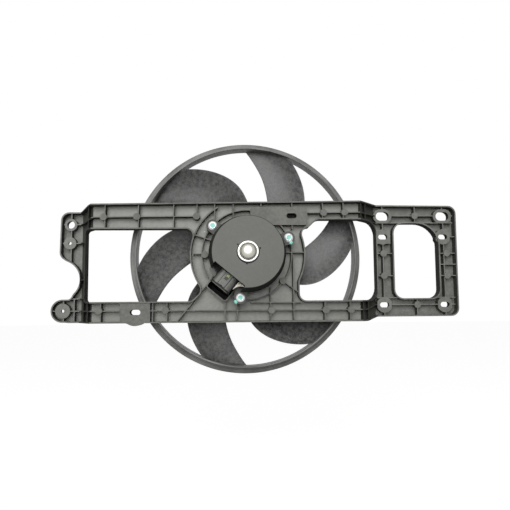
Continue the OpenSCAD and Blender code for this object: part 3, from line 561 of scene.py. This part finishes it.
# Fan: hub, six blades and ring in one moulding

BLADES = 6
BACK, FRONT = depths("fan_impeller")
HUB, HUB_WALL, HUB_FLOOR = 62.0, 2.6, 3.0
BEAD = 4.8  # how far the bead at the hub's front rim stands out
BUSH, BOSS, BOSS_FRONT = 7.0, 10.0, 12.4  # the steel bush, and the boss round it
AIR_HOLE, AIR_HOLES_AT = 4, 34  # radius, and distance from the fan axis
RING, RING_WALL, LIP = 145.5, 2.4, 156.98

# Sections of a blade from the hub outwards: radius, angle of the back edge, angle of the front edge, depth of
# the back edge, depth of the front edge
SECTIONS = np.array([
    [61, 60, 22.8, 11, 26.2],
    [69, 63.5, 26.8, 11.2, 26.4],
    [76, 66.4, 29.6, 11.3, 26.4],
    [82, 68.9, 31.6, 11.4, 26.3],
    [88, 71.2, 33.3, 11.4, 26.2],
    [94, 73.1, 35.7, 11.2, 26.1],
    [100, 74.9, 38.5, 10.9, 26],
    [106, 76.9, 41.7, 10.5, 25.8],
    [112, 79, 45, 10, 25.6],
    [118, 81.1, 48.5, 9.5, 25.4],
    [124, 83, 52.1, 9, 25.1],
    [130, 84.9, 55.9, 8.6, 24.8],
    [136, 86.8, 59.8, 8.3, 24.5],
    [141, 88.5, 63.4, 8.1, 24.2],
    [146.5, 90.2, 67.2, 8, 24]])
HALF_THICK, CAMBER = 1.2, 3.4


def blade(rows=44, cuts=22):
    """One swept, twisted and cambered blade with rounded edges and thicker roots."""
    radii = SECTIONS[:, 0]
    inner, length = radii[0], radii[-1] - radii[0]
    middle, half = 105, 44  # bring the radii to about -1..1, which keeps the fits steady
    fits = [np.polyfit((radii - middle) / half, SECTIONS[:, i], 6) for i in range(1, 5)]
    verts, faces = [], []
    ring = 2 * cuts
    for i in range(rows + 1):
        r = inner + length * i / rows
        back, front, back_depth, front_depth = [np.polyval(f, (r - middle) / half) for f in fits]
        # Both roots are more than twice as thick, and thin out within a few millimetres
        root = 1 + 1.6 * math.exp(-(r - HUB) / 2.2) + 1.3 * math.exp(-(RING - r) / 1.6)
        for j in range(ring):
            side = 1 if j < cuts else -1
            u = (j if j < cuts else ring - j) / cuts
            u = 0.5 - 0.5 * math.cos(math.pi * u)
            belly = max(4 * u * (1 - u), 0)
            thick = HALF_THICK * root * min(1.0, 1.5 * belly ** 0.5) * (0.62 + 0.38 * belly)
            a = math.radians(back + (front - back) * u)
            d = back_depth + (front_depth - back_depth) * u - CAMBER * belly + side * thick
            verts.append(point(r * math.cos(a), r * math.sin(a), d))
    for i in range(rows):
        for j in range(ring):
            k = (j + 1) % ring
            faces.append((i * ring + j, i * ring + k, (i + 1) * ring + k, (i + 1) * ring + j))
    faces.append(tuple(range(ring)))
    faces.append(tuple(rows * ring + j for j in range(ring - 1, -1, -1)))
    return make("blade", verts, faces, LOOKS["fan"], 60)


def fan_hub():
    """A cup with a rounded back, a bead round its rim, a boss for the bush and six air holes."""
    bead, hollow, floor = HUB + BEAD, HUB - HUB_WALL, BACK + HUB_FLOOR
    corners = [(BUSH, BACK, 0.2), (HUB, BACK, 6), (HUB, FRONT - 5, 2), (bead, FRONT - 3, 0.6),
               (bead, FRONT, 0.5), (hollow, FRONT, 0.5), (hollow, floor, 3), (BOSS, floor, 0.8),
               (BOSS, BOSS_FRONT, 0.3), (BUSH, BOSS_FRONT, 0.2)]
    hub = lathe("hub", round_loop(corners, 6), LOOKS["fan_hub"], 144)
    spot = circle(AIR_HOLE, 32, (AIR_HOLES_AT, 0))
    air_hole = prism("air_hole", spot, BACK - 2, BACK + 5, LOOKS["fan_hub"])
    cut(hub, around(air_hole, BLADES, 40))
    # The hub's back and its outside have the blades' skin, and only its hollow keeps the near-black painted shade
    hub.data.materials.append(LOOKS["fan"])
    for face in hub.data.polygons:
        off_axis = math.hypot(face.center.x, face.center.z)
        if face.normal.y > -0.5 and (face.normal.y > 0.3 or off_axis > (HUB - 0.5) * MM):
            face.material_index = 1
    return hub


def fan_ring():
    """The ring round the blades, with a lip at its back."""
    wall = RING + RING_WALL
    corners = [(RING, BACK, 0.8), (LIP - 0.6, BACK, 0.5), (LIP, BACK + 0.6, 0.5), (LIP, BACK + 2.2, 0.8),
               (wall + 2.6, BACK + 3, 2.5), (wall, BACK + 6, 2.5), (wall, FRONT, 0.9), (RING, FRONT, 0.9)]
    return lathe("ring", round_loop(corners), LOOKS["fan_ring"], 288)


def hub_ribs():
    """Low ribs on the floor of the hub, from the boss to its wall."""
    # The ribs in the hollow take its near-black painted shade
    rib = box("hub_rib", (BOSS - 1, HUB - 2.2), (-0.9, 0.9), (BACK + 2.8, BACK + 5.6), LOOKS["fan_hub"], 0.3)
    return around(rib, BLADES, 10)


impeller = join("fan_moulding", fan_hub(), fan_ring(), hub_ribs(), around(blade(), BLADES))
piece(impeller, "rotor", "fan", "fan_impeller")

# Motor cover: a shallow cone, cut flat on the side of the connector

FOOT, FACE = depths("motor_cover")
RIM, WALL = 49.2, 2.5  # radius at the foot, and the wall
TOP = RIM - 4.6  # radius at the face
HOLE = 10.1  # radius of the hole for the dome
TURN = 230.5  # direction of the flat and of the connector
FLAT, NOTCH = 34.8, 23.6  # distance of the flat from the fan axis, and half its width
GAP, GAP_AT = 14.2, (0, -0.7)  # outside of the shadow gap round the bright ring
SEAT = 12.8  # radius of the bright ring's seat
PIT, PITS_AT = 0.95, 15.2  # the small pits in the face


def disc(name, radius, d0, d1, mat, at=(0, 0)):
    """A flat disc, or a tool that cuts or trims round the fan axis."""
    return prism(name, circle(radius, 96, at), d0, d1, mat)


def outward(name, u, v, d, mat, bevel=0.0):
    """A box between two distances from the fan axis towards the flat, two across and two depths."""
    return box(name, u, v, d, mat, bevel, TURN)


def cover_shell():
    """The turned cone, notched for the flat, with three pits and the gap round the bright ring."""
    corners = [(HOLE, FACE, 0.3), (TOP, FACE, 1.3), (RIM, FOOT + 2, 0.5), (RIM, FOOT, 0.3),
               (RIM - WALL, FOOT, 0.2), (RIM - WALL, FOOT + 2, 0.5), (TOP - WALL, FACE - WALL, 1.4),
               (HOLE, FACE - WALL, 0.2)]
    shell = lathe("motor_cap", round_loop(corners, 6), LOOKS["cover"], 240)
    cut(shell, outward("notch", (FLAT, 70), (-NOTCH, NOTCH), (50, FACE + 2), LOOKS["cover"]))
    pits = [prism("pit", circle(PIT, 16, (PITS_AT, 0)), FACE - 4, FACE + 1, LOOKS["cover"], 0, angle)
            for angle in (15, 146, 264)]
    gap = disc("gap", GAP, FACE - 1.4, FACE + 1, LOOKS["cover"], GAP_AT)
    cut(gap, disc("seat", SEAT, FACE - 3, FACE + 2, LOOKS["cover"]))
    return cut(shell, gap, *pits)


def cover_cheeks():
    """The two walls between the flat and the cone, trimmed to the cone's inside."""
    walls = [outward("cheek", (FLAT - 2, FLAT + 13), (v, v + 1.8), (FOOT + 2.6, FACE - 0.4), LOOKS["cover"])
             for v in (-NOTCH - 1.8, NOTCH)]
    inside = [(0, FOOT + 2.4), (RIM - 0.5, FOOT + 2.4), (TOP - 0.7, FACE - 2.8), (TOP - 2.8, FACE - 0.5),
              (0, FACE - 0.5)]
    return cut(join("cheeks", *walls), lathe("inside", inside, LOOKS["cover"], 96), mode="INTERSECT")


def cover_lug():
    """A short stretch of the cover's foot that stands out past the notch."""
    lug = outward("lug", (36, 50), (-NOTCH - 1.6, -14.4), (FOOT + 0.1, FOOT + 2.2), LOOKS["cover"])
    cut(lug, disc("lug_rim", RIM + 3, FOOT - 1, FOOT + 4, LOOKS["cover"]), mode="INTERSECT")
    return cut(lug, disc("lug_bore", RIM - WALL - 0.3, FOOT - 1, FOOT + 4, LOOKS["cover"]))


def gap_floor():
    """A near-black disc at the bottom of the gap round the bright ring: painted shadow of the ring."""
    floor = disc("gap_floor", GAP - 0.2, FACE - 1.6, FACE - 1.2, LOOKS["socket"], GAP_AT)
    return cut(floor, disc("middle", SEAT + 0.1, FACE - 3, FACE + 2, LOOKS["socket"]))


flat_wall = outward("flat_wall", (FLAT - 2, FLAT), (-NOTCH - 1, NOTCH + 1), (74, FACE - 0.3), LOOKS["cover"])
cover = join("motor_cap", cover_shell(), flat_wall, cover_cheeks(), cover_lug(), gap_floor())
edge(cover, 0.3, 50)
piece(cover, "carrier", "cover", "motor_cover")

# Dome and bright ring in the middle of the cover

DOME_FOOT, DOME_TOP = depths("bearing_cap")
DOME, SHOULDER = 10.0, 95.0  # radius, and the depth at which the dome begins to close


def dome():
    """A steel cap with full shoulders, a wall of 2 mm and a top of 1.4 mm."""
    rise = DOME_TOP - SHOULDER
    outside = [(DOME * math.cos(a) ** 0.72, SHOULDER + rise * math.sin(a) ** 0.86)
               for a in np.linspace(0, math.pi / 2 - 0.03, 28)]
    inside = [((DOME - 2) * math.cos(a), SHOULDER + (rise - 1.4) * math.sin(a))
              for a in np.linspace(math.pi / 2 - 0.02, 0, 12)]
    foot = [(DOME - 0.02, DOME_FOOT), (DOME - 0.02, SHOULDER - 3.1)]
    tip = [(0.01, DOME_TOP), (0.01, DOME_TOP - 1.4)]
    return lathe("dome", foot + outside + tip + inside + [(DOME - 2, DOME_FOOT)], LOOKS["dome"], 96, 50)


def bright_ring():
    """The pressed ring round the dome, with a chamfer towards it."""
    low, high = depths("cap_ring")
    corners = [(HOLE, low, 0), (12.95, low, 0.2), (12.95, high, 0.6), (10.9, high, 0.3), (HOLE, low + 0.7, 0)]
    return lathe("bright_ring", round_loop(corners), LOOKS["bright_steel"], 96)


piece(dome(), "carrier", "bright_steel", "bearing_cap")
piece(bright_ring(), "carrier", "bright_steel", "cap_ring")

# Connector: a barrel that leaves the flat of the cover, with a latch strip on top of it

LOW, STRIP_TOP = depths("connector_shell")
HIGH = STRIP_TOP - 1  # depth of the barrel's front
MOUTH = 56.2  # distance of its mouth from the fan axis
WIDTH, WIDE_CORNER = 28, 11.5  # the barrel's width, and the radius of its two front corners
PLUG_WALL = 2


def barrel(width, low, high, corner):
    """The connector's round-shouldered section as (v, depth)."""
    w = width / 2
    return round_loop([(-w, low, 0.4), (w, low, 0.4), (w, high, corner), (-w, high, corner)], 10)


def hollow():
    """A tool in the shape of the connector's inside."""
    section = barrel(WIDTH - 2 * PLUG_WALL, LOW + PLUG_WALL, HIGH - PLUG_WALL, WIDE_CORNER - 2.5)
    return along("hollow", section, FLAT + 5, MOUTH + 3, LOOKS["socket"], TURN)


def connector():
    """Barrel, latch strip and tongue as one shell, with the lip of its mouth and a near-black band next to the lip that
    is painted shadow.
    """
    black, shade = LOOKS["connector"], LOOKS["socket"]
    shell = along("connector_barrel", barrel(WIDTH, LOW, HIGH, WIDE_CORNER), FLAT + 0.6, MOUTH, black, TURN)
    # The lip takes the cover's lighter grey, a painted highlight along the edge of the black mouth
    lip_section = barrel(WIDTH + 1.6, LOW, HIGH + 0.8, WIDE_CORNER + 0.8)
    lip = along("lip", lip_section, MOUTH - 1.2, MOUTH, LOOKS["cover"], TURN, 0.3)
    # Painted shadow: a near-black band, 0.15 mm proud of the barrel, next to the lip towards the cover
    shadow_band_section = barrel(WIDTH + 0.3, LOW, HIGH + 0.15, WIDE_CORNER + 0.1)
    shadow_band = along("shadow_band", shadow_band_section, MOUTH - 3.1, MOUTH - 1.1, shade, TURN)
    for part in (lip, shadow_band):
        cut(apply(part), hollow())
    strip = along("latch_strip", barrel(11.2, HIGH - 2, HIGH + 1, 1.4), FLAT + 0.6, MOUTH - 3.5, black, TURN)
    tongue = outward("tongue", (26, FLAT + 1), (-6, 6), (63, 73.2), black)
    cut(shell, strip, tongue, mode="UNION")
    pocket = outward("latch_pocket", (FLAT + 5.6, FLAT + 9.4), (-2.3, 2.3), (HIGH + 0.2, HIGH + 4), black)
    nick = outward("lip_nick", (MOUTH - 4, MOUTH - 1.6), (-1.6, 1), (HIGH - 1, HIGH + 4), black)
    slots = [outward("terminal_slot", (20, 48), (v - 1.6, v + 1.6), depths("terminals"), shade)
             for v in (-3.6, 3.6)]
    cut(shell, hollow(), pocket, nick, *slots)
    edge(shell, 0.25, 40)
    # Painted shade: a grey sheet at the bottom of the latch pocket
    pocket_floor = outward("pocket_floor", (FLAT + 5.5, FLAT + 9.5), (-2.4, 2.4), (HIGH - 0.2, HIGH + 0.35),
                           LOOKS["painted"])
    # The key rib takes the cover's lighter grey, a painted highlight on the black nylon
    key_rib = outward("key_rib", (45.6, 49.4), (-14.3, -13.2), (72.6, 73.8), LOOKS["cover"], 0.2)
    return join("connector", shell, lip, shadow_band, pocket_floor, key_rib)


def connector_lock():
    """A small green frame on the latch strip, with a paler pad in it."""
    lock_frame = outward("lock_frame", (FLAT + 0.9, FLAT + 5.4), (-2.5, 2.5), (HIGH, HIGH + 1.3),
                         LOOKS["green_plastic"], 0.2)
    pad = outward("lock_pad", (FLAT + 1.6, FLAT + 4.9), (-1.9, 1.9), (HIGH + 1, HIGH + 1.8),
                  LOOKS["pale_green"], 0.35)
    return join("lock", lock_frame, pad)


piece(connector(), "carrier", "black_plastic", "connector_shell")
piece(connector_lock(), "carrier", "green_plastic", "connector_lock")

# Motor screws: flanged hexagon heads with thread lock in the recess and a paint mark beside them

EAR, FIRST_EAR = 56.6, 20.8  # distance of the screws from the fan axis, and direction of the first
TIP = depths("motor_screws")[0]
EARS = depths("motor_can")[1]  # depth of the ears' front, on which the heads sit
SHANK, FLANGE, HEX, CROWN = 2.4, 5.7, 4.6, 4.2  # radii


def screw():
    """The bodies of one screw, drawn at the X axis."""
    at = (EAR, 0)
    shank = [(0, TIP), (SHANK - 0.3, TIP), (SHANK, TIP + 0.6), (SHANK, EARS + 0.3), (0, EARS + 0.3)]
    flange = [(0, EARS, 0), (FLANGE, EARS, 0.2), (FLANGE, EARS + 0.7, 0.3), (CROWN, EARS + 1.5, 0.6),
              (0, EARS + 1.5, 0)]
    crown = [(3.1, EARS + 2.4, 0), (CROWN, EARS + 2.4, 0), (CROWN - 0.1, EARS + 3.6, 0.6),
             (3.1, EARS + 3.6, 0.35)]
    dab = [(0, EARS + 3.1), (3.15, EARS + 3.1), (3.0, EARS + 3.35), (1.6, EARS + 3.2), (0, EARS + 3.25)]
    return [
        lathe("shank", shank, LOOKS["zinc"], 32, at=at),
        lathe("flange", round_loop(flange, 3), LOOKS["oiled_zinc"], 48, at=at),
        prism("head", circle(HEX, 6, at), EARS + 1, EARS + 3.2, LOOKS["zinc"], 0.45),
        lathe("crown", round_loop(crown), LOOKS["zinc"], 48, at=at),
        lathe("dab", dab, LOOKS["teal_paint"], 32, at=at)]


def blob(name, x, z, d, radius, height):
    """A drop of paint with an uneven rim."""
    spots = 20
    rows = ((0.55, 0.85), (0.9, 0.45), (1.0, 0.0))  # shares of the radius and of the height
    verts = [point(x, z, d + height)]
    for wide, high in rows:
        for i in range(spots):
            a = 2 * math.pi * i / spots
            w = radius * wide * (1 + 0.12 * math.sin(2 * a + x) + 0.07 * math.sin(5 * a + z))
            verts.append(point(x + w * math.cos(a), z + w * math.sin(a), d + height * high - 0.1))
    faces = []
    for i in range(spots):
        j = (i + 1) % spots
        faces.append((0, 1 + i, 1 + j))
        for k in (1, 1 + spots):
            faces.append((k + i, k + spots + i, k + spots + j, k + j))
    faces.append(tuple(1 + 2 * spots + i for i in range(spots - 1, -1, -1)))
    return make(name, verts, faces, LOOKS["teal_paint"], 60)


heads = [around(part, 3, FIRST_EAR) for part in screw()]
# Two marks lie on the motor can beside screws, and a drop lies on the carrier
marks = [blob("paint_mark", -15, -61.3, EARS, 2.4, 1.0),
         blob("paint_mark", 56.3, 13.8, EARS, 2.4, 1.0),
         blob("paint_drop", -55.4, 31.4, 35.5, 1.0, 0.4)]
piece(join("screws", *heads, *marks), "carrier", "zinc", "motor_screws")

# CAD nodes that are shown as they are

SLOTS = {s["node"]: s["material_slot"] for s in frame["record"]["subparts"]}
for name, node in cad.items():
    node.data.materials.clear()
    node.data.materials.append(LOOKS[SLOTS[name]])


def round_edges(name, width_mm):
    """Welds a CAD node's loose triangles, joins flat neighbours and rounds the edges."""
    obj = cad[name]
    weld = obj.modifiers.new("weld", "WELD")
    weld.merge_threshold = 0.002 * MM
    flat = obj.modifiers.new("flat", "DECIMATE")
    flat.decimate_type = "DISSOLVE"
    flat.angle_limit = math.radians(1.0)
    edge(obj, width_mm, 28)


round_edges("carrier_frame", 0.35)

# Each brush pushes its coil spring together as it slides out by TRAVEL millimetres

TRAVEL = 3.0
SPRINGS = (("brush_spring_1", "brush_right_slide", max), ("brush_spring_2", "brush_left_slide", min))
for name, joint, outer in SPRINGS:
    across = [(cad[name].matrix_world @ v.co).x for v in cad[name].data.vertices]
    length = max(across) - min(across)
    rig.squash(cad[name], joint, axis=(1, 0, 0), anchor=(outer(across), 0, 0), keep=1 - TRAVEL * MM / length)

# Stage


def background_rays(t):
    """1 for rays that show the background itself or its reflection, 0 for rays that gather light."""
    ray = add(t, "LightPath").outputs
    seen = add(t, "Math", {0: ray["Is Camera Ray"], 1: ray["Is Glossy Ray"]}, operation="MAXIMUM")
    return add(t, "Math", {0: seen.outputs[0], 1: ray["Is Transmission Ray"]}, operation="MAXIMUM").outputs[0]


def white_ground():
    """Matt grey ground that the camera sees as white paper, apart from the object's soft shadow."""
    mat, t = blank("pale_floor")
    glow = add(t, "Math", {0: background_rays(t), 1: 0.96}, operation="MULTIPLY")
    paper = add(t, "BsdfDiffuse", {"Color": srgb("#8c8c8a")})
    light = add(t, "Emission", {"Color": (1, 1, 1, 1), "Strength": glow.outputs[0]})
    both = add(t, "AddShader", {0: paper.outputs[0], 1: light.outputs[0]})
    add(t, "OutputMaterial", {"Surface": both.outputs[0]})
    return mat


def studio():
    """A world that looks white to the camera and in mirrors, and lights the object only faintly."""
    world = bpy.data.worlds.new("studio")
    world.use_nodes = True
    t = world.node_tree
    t.nodes.clear()
    strength = add(t, "MapRange", {"Value": background_rays(t), "To Min": 0.05, "To Max": 1.0}).outputs[0]
    sky = add(t, "Background", {"Color": (1, 1, 1, 1), "Strength": strength})
    add(t, "OutputWorld", {"Surface": sky.outputs[0]})
    return world


def lamp(name, at, to, size, power):
    """A rectangular lamp at a place, turned towards another."""
    data = bpy.data.lights.new(name, "AREA")
    data.shape = "RECTANGLE"
    data.size, data.size_y = size
    data.energy = power
    obj = bpy.data.objects.new(name, data)
    bpy.context.scene.collection.objects.link(obj)
    obj.location = at
    obj.rotation_euler = (Vector(to) - Vector(at)).to_track_quat("-Z", "Y").to_euler()


HALF_FLOOR, FLOOR_LEVEL = 8, -0.36  # metres
corners = [(x * HALF_FLOOR, y * HALF_FLOOR, FLOOR_LEVEL) for x, y in ((-1, -1), (1, -1), (1, 1), (-1, 1))]
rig.stage(make("floor", corners, [(0, 1, 2, 3)], white_ground()))
bpy.context.scene.world = studio()
lamp("front_softbox", at=(-0.2, -1.9, 0.6), to=(0, 0, 0), size=(1.4, 1.4), power=38)

# Camera, fitted to the ring, the motor cover, the bearing cap and the carrier in the photograph

PICTURE, FOCAL = 510, 560  # pixels: the photograph's width, and the focal length on its scale
camera = bpy.data.objects.new("camera", bpy.data.cameras.new("camera"))
bpy.context.scene.collection.objects.link(camera)
bpy.context.scene.camera = camera
camera.data.sensor_width = 36
camera.data.lens = FOCAL / PICTURE * 36
camera.data.clip_start = 0.01
place = (-0.02443, -0.77052, -0.06433)  # metres
right = (0.998843, -0.047441, -0.007824)
up = (0.003634, -0.087774, 0.996134)
towards_viewer = (-0.047944, -0.99501, -0.0875)
turned = Matrix((right, up, towards_viewer)).transposed().to_4x4()
camera.matrix_world = Matrix.Translation(place) @ turned

bpy.context.scene.view_settings.view_transform = "Standard"
with open("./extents.json", "w") as f:
    json.dump([[list(v) for v in start_bounds], [list(v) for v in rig.bounds()]], f)
